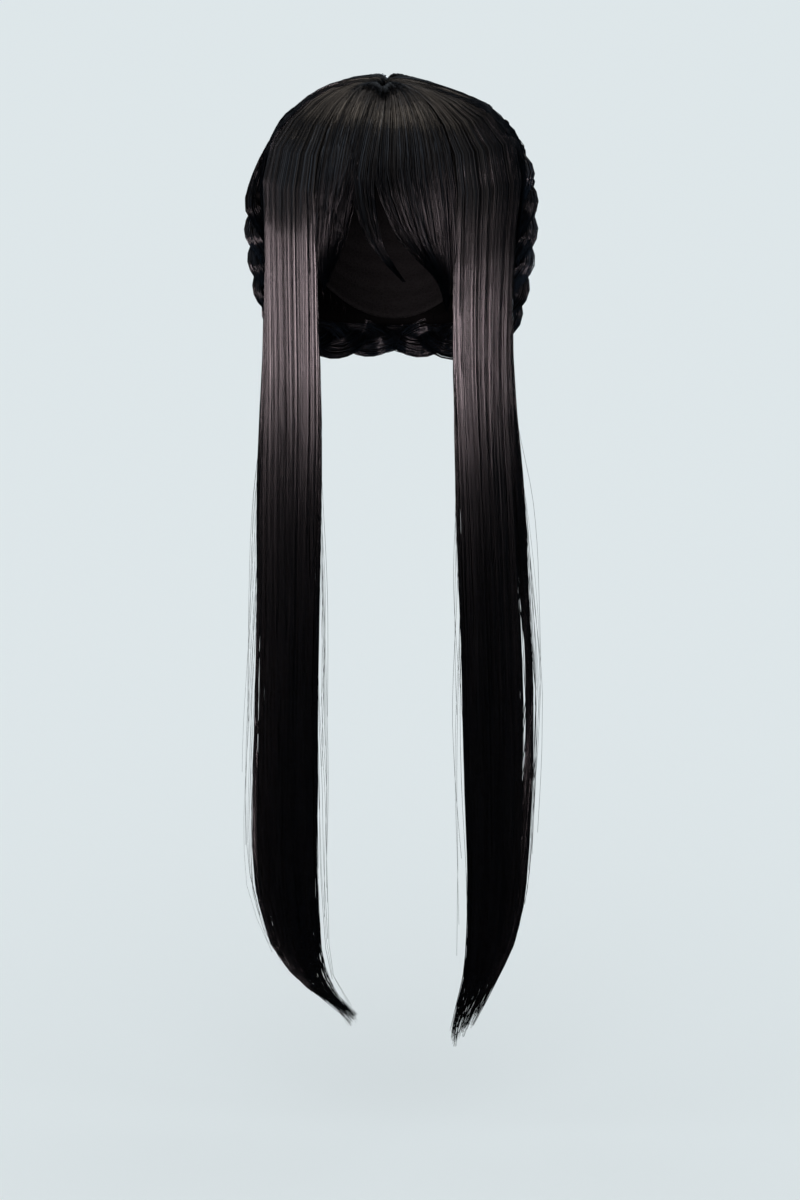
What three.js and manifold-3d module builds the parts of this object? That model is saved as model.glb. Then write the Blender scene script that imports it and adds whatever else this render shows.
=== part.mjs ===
// Long straight wig with a centre parting, brow-length bangs, two long sidelocks and two temple braids.
// Millimetres, +Z up, the face towards -Y and +X to the right as seen from the front.
// The origin is inside the top of the cap, where the crown of the head sits.
import * as THREE from "three";
import { mergeVertices } from "three/addons/utils/BufferGeometryUtils.js";
import Module from "manifold-3d";

const wasm = await Module();
wasm.setup();

const { clamp, lerp, smoothstep, degToRad } = THREE.MathUtils;

// Cap: a dome over an oval, about 545 mm round, that the hair is sewn to
const CAP_WALL = 1.5;
const CAP_HALF_WIDTH = 77;
const CAP_HALF_DEPTH = 97;
const CAP_Y = 8;
const DOME_POWER = 2.3;
const TEMPLE_Z = -85;
const NAPE_Z = -180;
const NAPE_NARROWING = 14;
const NAPE_HOLLOW = 26;
const NAPE_POWER = 1.5;
const CAP_SIDES = 36;
const CAP_ROWS = 8;

// Parting: the line from which all the hair is combed
const PARTING_Y = -12;
const PARTING_HALF_LENGTH = 24;
const ROOT_LEVEL = 0.008;

// Hair: how far it stands clear of the cap, and the ripple of its combed locks
const HAIR_CLEARANCE = 1.2;
const COMB_RIPPLE = 1.1;

// Lower edge of the cap. phi turns from the face, 0, by the ears, 90, to the nape, 180.
// A level runs from the parting, 0, by the widest ring, 1, to the lowest ring, 2.
const CAP_RIM = [
  { phi: 0, level: 0.71 },
  { phi: 25, level: 0.74 },
  { phi: 45, level: 0.86 },
  { phi: 62, level: 1.1 },
  { phi: 80, level: 1.34 },
  { phi: 100, level: 1.1 },
  { phi: 130, level: 1.55 },
  { phi: 155, level: 1.82 },
  { phi: 180, level: 1.9 },
];

// Depth of the hair over the cap, and how much fuller it is over the left and right ear
const HAIR_DEPTH = [
  { level: 0, depth: 7.5, left: 0, right: 0 },
  { level: 0.03, depth: 9.5, left: 0, right: 0 },
  { level: 0.07, depth: 11.3, left: 0, right: 0 },
  { level: 0.2, depth: 11.8, left: 0, right: 0 },
  { level: 0.35, depth: 12.4, left: 0, right: 2 },
  { level: 0.5, depth: 13, left: 0.5, right: 6 },
  { level: 0.65, depth: 13.2, left: 2, right: 8.5 },
  { level: 0.75, depth: 13, left: 2.5, right: 8.5 },
  { level: 1, depth: 11, left: 0.5, right: 2 },
  { level: 2, depth: 10, left: 0, right: 0 },
];

// Crown hair: the sheet of both sides and the back, pressed to a bed where the braids lie
const CROWN_FRONT_PHI = 83.2;
const CROWN_COLUMNS = 34;
const CROWN_ROWS = 12;
const BED_STEPS = 60;
const BED_GAP = 1.5;
const BED_INNER = 20;
const BED_OUTER = 31;
const CROWN_RIM = [
  { phi: 80, level: 1.2 },
  { phi: 95, level: 1.3 },
  { phi: 105, level: 1.58 },
  { phi: 120, level: 1.82 },
  { phi: 145, level: 1.89 },
  { phi: 180, level: 1.9 },
];

// Bangs: pointed locks from the parting's front end. Each lock has its direction at the root and the
// brow, its tip, its half width as an angle, its bend, and the power by which it narrows.
const BANGS_BROW_Z = -48;
const BANGS_ROWS = 11;
const BANGS_SIDES = 6;
const BANGS_TIP_WIDTH = 0.12;
const BANGS_TIP_DEPTH = 14.3;
const BANGS_TIP_GAP = 11.5;
const BANGS_BOW = 3.9;
const BANGS_LOCKS = [
  { rootPhi: -27.5, browPhi: -26.6, tipPhi: -26, tipZ: -122, halfPhi: 4.6, sweep: 1, slimming: 2 },
  { rootPhi: -20, browPhi: -21.5, tipPhi: -24.5, tipZ: -117, halfPhi: 4.6, sweep: 1, slimming: 2 },
  { rootPhi: -13, browPhi: -16.5, tipPhi: -22.5, tipZ: -109, halfPhi: 4.6, sweep: 1, slimming: 2 },
  { rootPhi: -7, browPhi: -12, tipPhi: -18, tipZ: -84, halfPhi: 4.6, sweep: 1, slimming: 2 },
  { rootPhi: -1, browPhi: -8.2, tipPhi: 8, tipZ: -115, halfPhi: 5.4, sweep: 1.6, slimming: 0.7 },
  { rootPhi: 6, browPhi: 0.8, tipPhi: 26, tipZ: -119, halfPhi: 5.8, sweep: 1.35, slimming: 1.6 },
  { rootPhi: 13, browPhi: 10, tipPhi: 25.8, tipZ: -124, halfPhi: 4.8, sweep: 1.3, slimming: 2 },
  { rootPhi: 20, browPhi: 18, tipPhi: 26.4, tipZ: -131, halfPhi: 4.8, sweep: 1.2, slimming: 2 },
  { rootPhi: 27.5, browPhi: 26, tipPhi: 26, tipZ: -136, halfPhi: 4.6, sweep: 1, slimming: 2 },
];

// Sidelocks: a sheet from the parting that comes forward off the temple and hangs as a curved lock
const SIDELOCK_FRONT_PHI = 33;
const SIDELOCK_BACK_PHI = 82;
const SIDELOCK_HEAD_ROWS = 9;
const SIDELOCK_ROW_POWER = 1.3;
const SIDELOCK_SIDES = 20;
const SIDELOCK_RIBS = 5;
const SIDELOCK_RIPPLE = 0.14;
const SIDELOCK_TURN = 55;
const SIDELOCK_Y = -49;
const LEAVING_Z = -30;
const GATHER_TOP_Z = -85;
const GATHER_END_Z = -290;

// Sections of the hanging locks: level, inner and outer edge from the middle, how far forward they have come,
// the share kept of their depth at the temple, and half their thickness
const SIDELOCK_LEFT = [
  { z: -85, inner: 43, outer: 86, forward: 7.2, kept: 1, half: 9 },
  { z: -110, inner: 43, outer: 86, forward: 10, kept: 1, half: 9 },
  { z: -142, inner: 43, outer: 86.5, forward: 13.4, kept: 1, half: 9 },
  { z: -173, inner: 43, outer: 86, forward: 16.6, kept: 1, half: 9 },
  { z: -215, inner: 43.5, outer: 87.5, forward: 20.4, kept: 1, half: 8.5 },
  { z: -270, inner: 45.5, outer: 89.5, forward: 23.9, kept: 1, half: 8.5 },
  { z: -342, inner: 47.5, outer: 90.5, forward: 25.4, kept: 0.94, half: 8 },
  { z: -413, inner: 49.5, outer: 92.5, forward: 26, kept: 0.84, half: 8 },
  { z: -469, inner: 49.5, outer: 94, forward: 26.3, kept: 0.72, half: 8 },
  { z: -525, inner: 50.5, outer: 95, forward: 26.5, kept: 0.58, half: 7.5 },
  { z: -560, inner: 49.5, outer: 92.5, forward: 26.5, kept: 0.48, half: 7 },
  { z: -597, inner: 47.5, outer: 82, forward: 26.5, kept: 0.37, half: 6 },
  { z: -616, inner: 42.5, outer: 70, forward: 26.5, kept: 0.3, half: 5 },
  { z: -630, inner: 36.5, outer: 55, forward: 26.5, kept: 0.22, half: 4 },
  { z: -645, inner: 22.5, outer: 26.5, forward: 26.5, kept: 0.12, half: 1.2 },
];
const SIDELOCK_RIGHT = [
  { z: -85, inner: 44, outer: 85, forward: 10.6, kept: 1, half: 9 },
  { z: -110, inner: 44, outer: 85, forward: 14.2, kept: 1, half: 9 },
  { z: -142, inner: 45, outer: 84.5, forward: 18.4, kept: 1, half: 9 },
  { z: -173, inner: 48, outer: 86, forward: 21.8, kept: 1, half: 9 },
  { z: -215, inner: 49.5, outer: 88.5, forward: 25.7, kept: 1, half: 8.5 },
  { z: -270, inner: 50.5, outer: 92.5, forward: 29.2, kept: 1, half: 8.5 },
  { z: -342, inner: 53.5, outer: 96.5, forward: 30.8, kept: 0.94, half: 8 },
  { z: -410, inner: 55.5, outer: 100.5, forward: 31.4, kept: 0.84, half: 8 },
  { z: -464, inner: 57.5, outer: 100, forward: 31.7, kept: 0.72, half: 8 },
  { z: -520, inner: 59.5, outer: 98, forward: 32, kept: 0.58, half: 7.5 },
  { z: -557, inner: 59.5, outer: 95.5, forward: 32, kept: 0.48, half: 7 },
  { z: -589, inner: 58.5, outer: 89.5, forward: 32, kept: 0.37, half: 6 },
  { z: -612, inner: 56.5, outer: 81, forward: 32, kept: 0.3, half: 5 },
  { z: -633, inner: 52.5, outer: 71, forward: 32, kept: 0.22, half: 4 },
  { z: -654, inner: 51.5, outer: 55.5, forward: 32, kept: 0.12, half: 1.2 },
];

// Braids: three strands that cross over each other on a route from the temple round to the nape
const BRAID_PITCH = 72;
const BRAID_SWING = 10.5;
const BRAID_RISE = 3.6;
const STRAND_HALF_WIDTH = 8.2;
const STRAND_HALF_DEPTH = 5;
const STRAND_SIDES = 6;
const STRAND_COUNT = 3;
const STRAND_STEP = 10.2;
const BRAID_LEFT_START = 0.07;
const BRAID_RIGHT_START = 0;
const BRAID_ROUTE = [
  { phi: 92, z: -32, offset: 16, size: 0.75 },
  { phi: 95, z: -57, offset: 17, size: 1 },
  { phi: 97.5, z: -84, offset: 17.5, size: 1 },
  { phi: 101, z: -112, offset: 18.5, size: 1 },
  { phi: 107, z: -139, offset: 19.5, size: 1 },
  { phi: 119, z: -163, offset: 19, size: 1 },
  { phi: 146, z: -175, offset: 16, size: 0.95 },
  { phi: 176, z: -176, offset: 14, size: 0.85 },
];

// Finishes: glossy dyed fibre and matt cap net
const FIBRE = { color: 0x15120f, roughness: 0.4, metalness: 0 };
const CAP_NET = { color: 0x171617, roughness: 0.8, metalness: 0 };

// Value of a table's column at a place between its rows
function between(table, key, column, at) {
  const next = table.findIndex((row) => row[key] >= at);
  if (next === 0) return table[0][column];
  if (next < 0) return table.at(-1)[column];
  const low = table[next - 1];
  const high = table[next];
  return lerp(low[column], high[column], (at - low[key]) / (high[key] - low[key]));
}

// Ring of the cap's outside. Hair that hangs drops straight from the widest ring.
function ringAt(level, hangs) {
  const rise = Math.min(level, 1) * 0.5 * Math.PI;
  const spread = Math.sin(rise) ** (2 / DOME_POWER);
  const lift = Math.abs(Math.cos(rise)) ** (2 / DOME_POWER);
  const below = Math.max(level - 1, 0);
  const shrink = hangs ? 0 : below ** NAPE_POWER;
  return {
    halfWidth: CAP_HALF_WIDTH * spread - NAPE_NARROWING * shrink,
    halfDepth: lerp(PARTING_HALF_LENGTH, CAP_HALF_DEPTH, spread) - NAPE_HOLLOW * shrink,
    centreY: lerp(PARTING_Y, CAP_Y, spread),
    z: TEMPLE_Z + (CAP_WALL - TEMPLE_Z) * lift - (TEMPLE_Z - NAPE_Z) * below,
  };
}

// Level of the ring at a height
function levelAt(z) {
  if (z < TEMPLE_Z) return 1 + (TEMPLE_Z - z) / (TEMPLE_Z - NAPE_Z);
  const lift = (z - TEMPLE_Z) / (CAP_WALL - TEMPLE_Z);
  return Math.acos(lift ** (DOME_POWER / 2)) / (0.5 * Math.PI);
}

function onHead(phi, level, hangs) {
  const ring = ringAt(level, hangs);
  const turn = degToRad(phi);
  const x = ring.halfWidth * Math.sin(turn);
  return new THREE.Vector3(x, ring.centreY - ring.halfDepth * Math.cos(turn), ring.z);
}

// Point at a distance off the cap's outside, square to it
function offHead(phi, level, offset, hangs = false) {
  const phiStep = 0.5;
  const levelStep = 0.004;
  const across = onHead(phi + phiStep, level, hangs).sub(onHead(phi - phiStep, level, hangs));
  const down = onHead(phi, level + levelStep, hangs).sub(onHead(phi, level - levelStep, hangs));
  return onHead(phi, level, hangs).addScaledVector(down.cross(across).normalize(), offset);
}

function rimLevel(rim, phi) {
  return between(rim, "phi", "level", Math.min(phi, 360 - phi));
}

function hairDepth(phi, level) {
  const over = Math.sin(degToRad(phi));
  const fuller = between(HAIR_DEPTH, "level", over < 0 ? "left" : "right", level);
  return between(HAIR_DEPTH, "level", "depth", level) + fuller * over ** 2;
}

// Solid of a closed geometry, with its faces turned outwards
function solidOf(geometry) {
  geometry.deleteAttribute("normal");
  geometry.deleteAttribute("uv");
  const merged = mergeVertices(geometry);
  const vertProperties = merged.getAttribute("position").array;
  const triVerts = Uint32Array.from(merged.index.array);
  const corner = (i) => new THREE.Vector3().fromArray(vertProperties, 3 * triVerts[i]);
  let volume = 0;
  for (let i = 0; i < triVerts.length; i += 3) {
    volume += corner(i).dot(corner(i + 1).cross(corner(i + 2)));
  }
  if (volume < 0) triVerts.reverse();
  return new wasm.Manifold(new wasm.Mesh({ numProp: 3, vertProperties, triVerts }));
}

// Closed tube: a cylinder whose rings and end middles go to place(turn, row, spread)
function bentTube(sides, rows, place) {
  const tube = new THREE.CylinderGeometry(1, 1, 1, sides, rows);
  const position = tube.getAttribute("position");
  for (let i = 0; i < position.count; i++) {
    const spread = Math.round(Math.hypot(position.getX(i), position.getZ(i)));
    const turn = Math.atan2(position.getX(i), position.getZ(i)) / (2 * Math.PI);
    const row = Math.round((0.5 - position.getY(i)) * rows);
    position.setXYZ(i, ...place(turn, row, spread));
  }
  return solidOf(tube);
}

// Closed sheet: a box whose columns, rows and two faces go to place(u, v, face)
function bentSheet(columns, rows, place) {
  const sheet = new THREE.BoxGeometry(1, 1, 1, columns, rows, 1);
  const position = sheet.getAttribute("position");
  for (let i = 0; i < position.count; i++) {
    const u = position.getX(i) + 0.5;
    const v = 0.5 - position.getY(i);
    position.setXYZ(i, ...place(u, v, position.getZ(i) + 0.5));
  }
  return solidOf(sheet);
}

function meshOf(name, solid, finish) {
  const { vertProperties, triVerts } = solid.getMesh();
  const geometry = new THREE.BufferGeometry();
  geometry.setAttribute("position", new THREE.BufferAttribute(vertProperties, 3));
  geometry.setIndex(new THREE.BufferAttribute(triVerts, 1));
  const mesh = new THREE.Mesh(geometry, new THREE.MeshStandardMaterial(finish));
  mesh.name = name;
  return mesh;
}

const join = (solids) => solids.reduce((whole, solid) => whole.add(solid));

// Cap: its outside runs down from the top to the rim, and its inside back up
function wigCap() {
  const lastRow = 2 * CAP_ROWS + 1;
  return bentTube(CAP_SIDES, lastRow, (turn, row, spread) => {
    const inside = row > CAP_ROWS;
    const run = (inside ? lastRow - row : row) / CAP_ROWS;
    const phi = 180 + 360 * turn;
    const level = lerp(ROOT_LEVEL, rimLevel(CAP_RIM, phi), run);
    const offset = inside ? -CAP_WALL : 0;
    if (spread === 0) return [0, PARTING_Y, CAP_WALL + offset];
    return offHead(phi, level, offset);
  });
}

// Braid route on the right: its middle, a line outside it, and the table's values along it
function braidRoute() {
  const line = (extra) => {
    const spots = BRAID_ROUTE.map((row) => offHead(row.phi, levelAt(row.z), row.offset + extra));
    return new THREE.CatmullRomCurve3(spots);
  };
  const rows = BRAID_ROUTE.map((row, i) => ({ run: i / (BRAID_ROUTE.length - 1), ...row }));
  const valueAt = (column, run) => between(rows, "run", column, run);
  return { curve: line(0), outside: line(BRAID_SWING), valueAt };
}

// Strand's middle, width direction and depth direction at a run along the braid
function strandFrame(route, run, phase, length) {
  const middle = (at) => {
    const point = route.curve.getPoint(at);
    const along = route.curve.getTangent(at);
    const out = route.outside.getPoint(at).sub(point);
    out.addScaledVector(along, -out.dot(along)).normalize();
    const turn = (2 * Math.PI * at * length) / BRAID_PITCH + phase;
    const size = route.valueAt("size", at);
    point.addScaledVector(along.cross(out), size * BRAID_SWING * Math.sin(turn));
    point.addScaledVector(out, size * BRAID_RISE * Math.sin(2 * turn));
    return { point, out, size };
  };
  const nudge = 0.002;
  const { point, out, size } = middle(run);
  const ahead = middle(Math.min(run + nudge, 1)).point;
  const along = ahead.sub(middle(Math.max(run - nudge, 0)).point).normalize();
  const wide = new THREE.Vector3().crossVectors(along, out).normalize();
  return { point, wide, deep: wide.clone().cross(along), size };
}

// Braid: three strands fused where they cross
function braid(side, start) {
  const route = braidRoute();
  const length = route.curve.getLength();
  const rows = Math.round((length * (1 - start)) / STRAND_STEP);
  const strand = (_, index) => bentTube(STRAND_SIDES, rows, (turn, row, spread) => {
    const run = lerp(start, 1, row / rows);
    const phase = (2 * Math.PI * index) / STRAND_COUNT;
    const { point, wide, deep, size } = strandFrame(route, run, phase, length);
    const angle = 2 * Math.PI * turn;
    point.addScaledVector(wide, spread * size * STRAND_HALF_WIDTH * Math.sin(angle));
    point.addScaledVector(deep, spread * size * STRAND_HALF_DEPTH * Math.cos(angle));
    return [side * point.x, point.y, point.z];
  });
  return join(Array.from({ length: STRAND_COUNT }, strand));
}

// Crown hair: full over the crown and the back, pressed flat under each braid
function crownHair() {
  const route = braidRoute();
  const bed = Array.from({ length: BED_STEPS + 1 }, (_, i) => {
    const run = i / BED_STEPS;
    const size = route.valueAt("size", run);
    const under = (BRAID_RISE + STRAND_HALF_DEPTH) * size + BED_GAP;
    return { point: route.curve.getPoint(run), size, depth: route.valueAt("offset", run) - under };
  });
  return bentSheet(CROWN_COLUMNS, CROWN_ROWS, (u, v, face) => {
    const phi = lerp(CROWN_FRONT_PHI, 360 - CROWN_FRONT_PHI, u);
    const level = lerp(ROOT_LEVEL, rimLevel(CROWN_RIM, phi), v);
    const depth = hairDepth(phi, level);
    const combed = offHead(Math.min(phi, 360 - phi), level, depth);
    const nearest = bed.reduce((a, b) => (a.point.distanceTo(combed) < b.point.distanceTo(combed) ? a : b));
    const away = nearest.point.distanceTo(combed) / nearest.size;
    const fullness = smoothstep(away, BED_INNER, BED_OUTER);
    const ripple = COMB_RIPPLE * Math.min(2 * level, 1) * Math.cos(Math.PI * CROWN_COLUMNS * u);
    const outer = lerp(nearest.depth, depth + ripple, fullness);
    return offHead(phi, level, lerp(HAIR_CLEARANCE, outer, face));
  });
}

// Bangs: pointed locks on one fan, each a lens in section
function bangs() {
  const browLevel = levelAt(BANGS_BROW_Z);
  const lock = (row) => {
    const tipLevel = levelAt(row.tipZ);
    return bentTube(BANGS_SIDES, BANGS_ROWS, (turn, step, spread) => {
      const level = lerp(ROOT_LEVEL, tipLevel, step / BANGS_ROWS);
      const toBrow = Math.min(level / browLevel, 1);
      const toTip = Math.max((level - browLevel) / (tipLevel - browLevel), 0);
      const onBrow = lerp(row.rootPhi, row.browPhi, toBrow);
      const phi = lerp(onBrow, row.tipPhi, toTip ** row.sweep);
      const width = row.halfPhi * lerp(1, BANGS_TIP_WIDTH, toTip ** row.slimming);
      const inner = lerp(HAIR_CLEARANCE, BANGS_TIP_GAP, toTip);
      const bow = BANGS_BOW * Math.sin(Math.PI * toTip ** 1.45);
      const outer = lerp(hairDepth(phi, Math.min(level, browLevel)), BANGS_TIP_DEPTH, toTip) + bow;
      const angle = 2 * Math.PI * turn;
      const offset = lerp(inner, outer, 0.5 + 0.5 * spread * Math.cos(angle));
      return offHead(phi + spread * width * Math.sin(angle), level, offset, true);
    });
  };
  return join(BANGS_LOCKS.map(lock));
}

// Sidelock: rows over the head, then the hanging sections, on rings of combed ribs
function sidelock(side, sections) {
  const headRows = SIDELOCK_HEAD_ROWS;
  const rows = headRows + sections.length - 1;
  const lean = degToRad(SIDELOCK_TURN);
  return bentTube(SIDELOCK_SIDES, rows, (turn, row, spread) => {
    const outside = Math.abs(turn) <= 0.25 + 1e-6;
    const across = spread * (outside ? 4 * turn : Math.sign(turn) * 2 - 4 * turn);
    const round = Math.sqrt(Math.max(1 - Math.abs(across) ** 3, 0));
    const ribs = outside ? 1 - SIDELOCK_RIPPLE * (1 - Math.cos(SIDELOCK_RIBS * Math.PI * (across + 1))) : 1;
    const deep = spread * round * ribs * (outside ? 1 : -1);
    const hanging = row >= headRows;
    const section = sections[Math.max(row - headRows, 0)];
    const headLevel = lerp(ROOT_LEVEL, 1, (row / headRows) ** SIDELOCK_ROW_POWER);
    const level = hanging ? levelAt(section.z) : headLevel;
    const phi = lerp(SIDELOCK_FRONT_PHI, SIDELOCK_BACK_PHI, 0.5 + 0.5 * across);
    const offset = lerp(HAIR_CLEARANCE, hairDepth(side * phi, level), 0.5 + 0.5 * deep);
    const spot = offHead(side * phi, level, offset, true);
    const leaving = clamp((LEAVING_Z - spot.z) / (LEAVING_Z - TEMPLE_Z), 0, 1);
    const reach = lerp(section.inner, section.outer, 0.5 + 0.5 * across);
    const hungX = side * (reach + deep * section.half * Math.sin(lean));
    spot.x = lerp(spot.x, hungX, smoothstep(-spot.z, -GATHER_TOP_Z, -GATHER_END_Z));
    spot.y = lerp(SIDELOCK_Y, spot.y, section.kept) - section.forward * leaving;
    return spot;
  });
}

const wig = new THREE.Group();
wig.add(meshOf("wig_cap", wigCap(), CAP_NET));
wig.add(meshOf("crown_hair", crownHair(), FIBRE));
wig.add(meshOf("bangs", bangs(), FIBRE));
wig.add(meshOf("sidelock_left", sidelock(-1, SIDELOCK_LEFT), FIBRE));
wig.add(meshOf("sidelock_right", sidelock(1, SIDELOCK_RIGHT), FIBRE));
wig.add(meshOf("braid_left", braid(-1, BRAID_LEFT_START), FIBRE));
wig.add(meshOf("braid_right", braid(1, BRAID_RIGHT_START), FIBRE));

export default wig;
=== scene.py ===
# Long straight black wig: net cap, combed crown hair, swept bangs, two sidelocks and two temple braids.
# Sizes are in millimetres on the rings of the cap, and become metres where a mesh is made.
# phi turns in degrees from the face, 0, by the ears, 90, to the nape, 180. A level runs from the parting,
# 0, by the widest ring, 1, to the lowest ring, 2. A run goes from the root of a hair, 0, to its tip, 1.
# Side -1 is the left and side 1 the right, as seen from the front.
import math
from collections import namedtuple

import bmesh
import bpy
import numpy as np
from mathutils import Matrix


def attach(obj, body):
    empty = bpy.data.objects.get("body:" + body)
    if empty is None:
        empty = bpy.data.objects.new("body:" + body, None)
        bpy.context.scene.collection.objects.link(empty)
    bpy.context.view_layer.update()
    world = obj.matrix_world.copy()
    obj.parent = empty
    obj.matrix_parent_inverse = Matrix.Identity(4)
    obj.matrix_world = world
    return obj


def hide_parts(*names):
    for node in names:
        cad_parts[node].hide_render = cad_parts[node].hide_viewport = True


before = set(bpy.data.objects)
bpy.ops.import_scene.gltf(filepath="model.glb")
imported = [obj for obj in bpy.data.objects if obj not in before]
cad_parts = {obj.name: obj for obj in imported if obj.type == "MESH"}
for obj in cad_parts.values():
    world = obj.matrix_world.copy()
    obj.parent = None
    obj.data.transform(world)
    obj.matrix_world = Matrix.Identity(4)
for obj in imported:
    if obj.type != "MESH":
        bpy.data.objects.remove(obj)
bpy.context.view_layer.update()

MM = 0.001
SEED = 7

# Cap and parting
CAP_WALL = 1.5
CAP_HALF_WIDTH = 77
CAP_HALF_DEPTH = 97
CAP_Y = 8
DOME_POWER = 2.3
TEMPLE_Z = -85
NAPE_Z = -180
NAPE_NARROWING = 14
NAPE_HOLLOW = 26
NAPE_POWER = 1.5
PARTING_X = -3.5
PARTING_Y = -12
PARTING_HALF_LENGTH = 24
ROOT_LEVEL = 0.004
GROOVE_HALF_WIDTH = 1.8
GROOVE_SHARE = 0.3
GROOVE_FADE = (0.15, 0.4)
CAP_RIM = {
    "phi": (0, 25, 45, 62, 80, 100, 130, 155, 180),
    "level": (0.71, 0.74, 0.86, 1.1, 1.34, 1.1, 1.55, 1.82, 1.9),
}
RIM_EASING = (-12, -8, -4, 0, 4, 8, 12)
CAP_SIDES = 72
CAP_OPEN_BELOW_Z = -20
WEFT_ROWS = 14
WEFT_STEPS = 4
WEFT_HEIGHT = 0.9
WEFT_CREST = 0.5
WEFT_START = (0.1, 0.3)
HEM_LEVEL = 0.07
HEM_TURN = 0.02
HEM_HEIGHT = 0.8
NET_MESH = 2.5
NET_THREAD = 0.4

# Depth of the hair over the cap, and how much fuller it is over the left and right ear
HAIR_CLEARANCE = 1.2
HAIR_DEPTH = {
    "level": (0, 0.03, 0.07, 0.2, 0.35, 0.5, 0.65, 0.75, 1, 2),
    "depth": (7, 8.4, 10, 11.6, 12.4, 13, 13.2, 13, 11, 10),
    "left": (0, 0, -0.5, -1, -0.7, 0, 2, 2.5, 0.5, 0),
    "right": (0, 0, -1.5, -3.2, -1.6, 4, 8.5, 8.5, 2, 0),
}

# Fibre clumps: their cross-section, how they slim at root and tip, and how they wave
FIBRE_HALF_WIDTH = 0.45
FIBRE_WIDTHS = (0.6, 1.2)
FIBRE_FLATNESS = 0.6
FIBRE_SIDES = 3
FIBRE_TURN = 0.25
FIBRE_ROLL = 0.8
ROOT_SLIMNESS = 0.4
ROOT_RUN = 0.1
TIP_SLIMNESS = 0.3
TIP_RUN = 0.25
WAVE_SPREAD = (0.6, 1.4)

# Combed hair: how it gathers in clumps, lies in layers, and starts low at its roots, where it is
# painted darker and duller as painted shade
CLUMP_BLUR = 0.2
CLUMP_DRIFT = 0.3
CLUMP_TONE_SHARE = 0.3
LAYER_DEPTH = 0.55
LAYER_POWER = 1.5
ROOT_PRESS = 0.45
ROOT_RISE_LEVEL = 0.014
ROOT_PAINTED_SHADE = 0.2
ROOT_SHADE_LEVELS = (0.005, 0.06)

# Packed hair under the fibres, painted a dull dark black as painted shade
UNDERLAYER_WALL = 2
UNDERLAYER_RISE = 0.12
PACKED_GRAIN = 1.1

# Crown hair
CROWN_FRONT_PHI = 83.2
CROWN_RIM = {
    "phi": (80, 95, 105, 120, 145, 180),
    "level": (1.2, 1.3, 1.58, 1.82, 1.93, 1.96),
}
CROWN_FIBRES = 1300
CROWN_STEPS = 18
CROWN_CLUMPS = 90
CROWN_CLUMPING = 0.3
CROWN_CLUMP_RUN = (0.1, 0.9)
CROWN_LENGTHS = (0.9, 1)
CROWN_ROW_POWER = 1.6
CROWN_LAYER = 0.4
CROWN_LIFT = 0.02
CROWN_WAVE = 0.5
CROWN_WAVES = 2
CROWN_UNDER_GRID = (60, 30)
CROWN_UNDER_POWER = 1.3
CROWN_UNDER_INSET = 0.05
CROWN_UNDER_SHARE = 0.62
BED_STEPS = 60
BED_OVERLAP = 2
BED_INNER = 12
BED_OUTER = 20
UNDER_BRAID_PHI = 99
UNDER_BRAID_SHARE = 0.7
UNDER_BRAID_LEVELS = (0.5, 1.1)

# Bangs: one fan down to the brow, and pointed locks below it
BANGS_BROW_Z = -48
BANGS_TIP_WIDTH = 0.12
BANGS_TIP_DEPTH = 14.3
BANGS_TIP_GAP = 11.5
BANGS_TIP_PAINTED_SHADE = 0.3
BANGS_TIP_FADE = (0.86, 1.06)
BANGS_BOW = 3.9
BANGS_BOW_POWER = 1.6
BANGS_CLUMP_BOW = 0.4
BANGS_HAIR_BOW = 0.35
BANGS_LOCK_FIBRES = 190
BANGS_STEPS = 16
BANGS_LOCK_CLUMPS = 6
BANGS_CLUMPING = 0.7
BANGS_CLUMP_RUN = (0.5, 1)
BANGS_ROUND_RUN = (0.1, 0.7)
BANGS_SHORTENING = 0.22
BANGS_ROW_POWER = 1.5
BANGS_OUTER_SHARE = 0.75
BANGS_LIFT = 0.03
BANGS_WAVE = 0.35
BANGS_WAVES = 1.5
BANGS_WIDTHS = (0.5, 1.1)
BANGS_UNDER_GRID = (30, 16)
BANGS_UNDER_Z = -56
BANGS_UNDER_SHARE = 0.55
# Each lock's direction at the root and the brow, its tip, its half width as an angle, its bend, and the
# power by which it narrows
BangsLock = namedtuple("BangsLock", "root_phi brow_phi tip_phi tip_z half_phi sweep slimming")
BANGS_LOCKS = (
    BangsLock(-27.5, -26.6, -26, -122, 4.6, 1, 2),
    BangsLock(-20, -21.5, -24.5, -117, 4.6, 1, 2),
    BangsLock(-13, -16.5, -22.5, -109, 4.6, 1, 2),
    BangsLock(-7, -14.5, -20.5, -86, 4.6, 1, 2),
    BangsLock(-1, -10, 8, -115, 6, 1.6, 1),
    BangsLock(6, 0.8, 26, -119, 5.8, 1.35, 1.6),
    BangsLock(13, 10, 25.8, -124, 4.8, 1.3, 2),
    BangsLock(20, 18, 26.4, -131, 4.8, 1.2, 2),
    BangsLock(27.5, 26, 26, -136, 4.6, 1, 2),
)

# Sidelocks: rows of hair over the temple that are gathered into a flat lock
SIDELOCK_FRONT_PHI = 33
SIDELOCK_BACK_PHI = 82
SIDELOCK_ROW_POWER = 1.7
SIDELOCK_TURN = 55
SIDELOCK_Y = -49
SIDELOCK_EDGE_POWER = 5
SIDELOCK_EDGE_LEVELS = (0.6, 1.2)
LEAVING_Z = -30
GATHER_TOP_Z = -85
GATHER_END_Z = -290
HEAD_SHARE = 0.27

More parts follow.
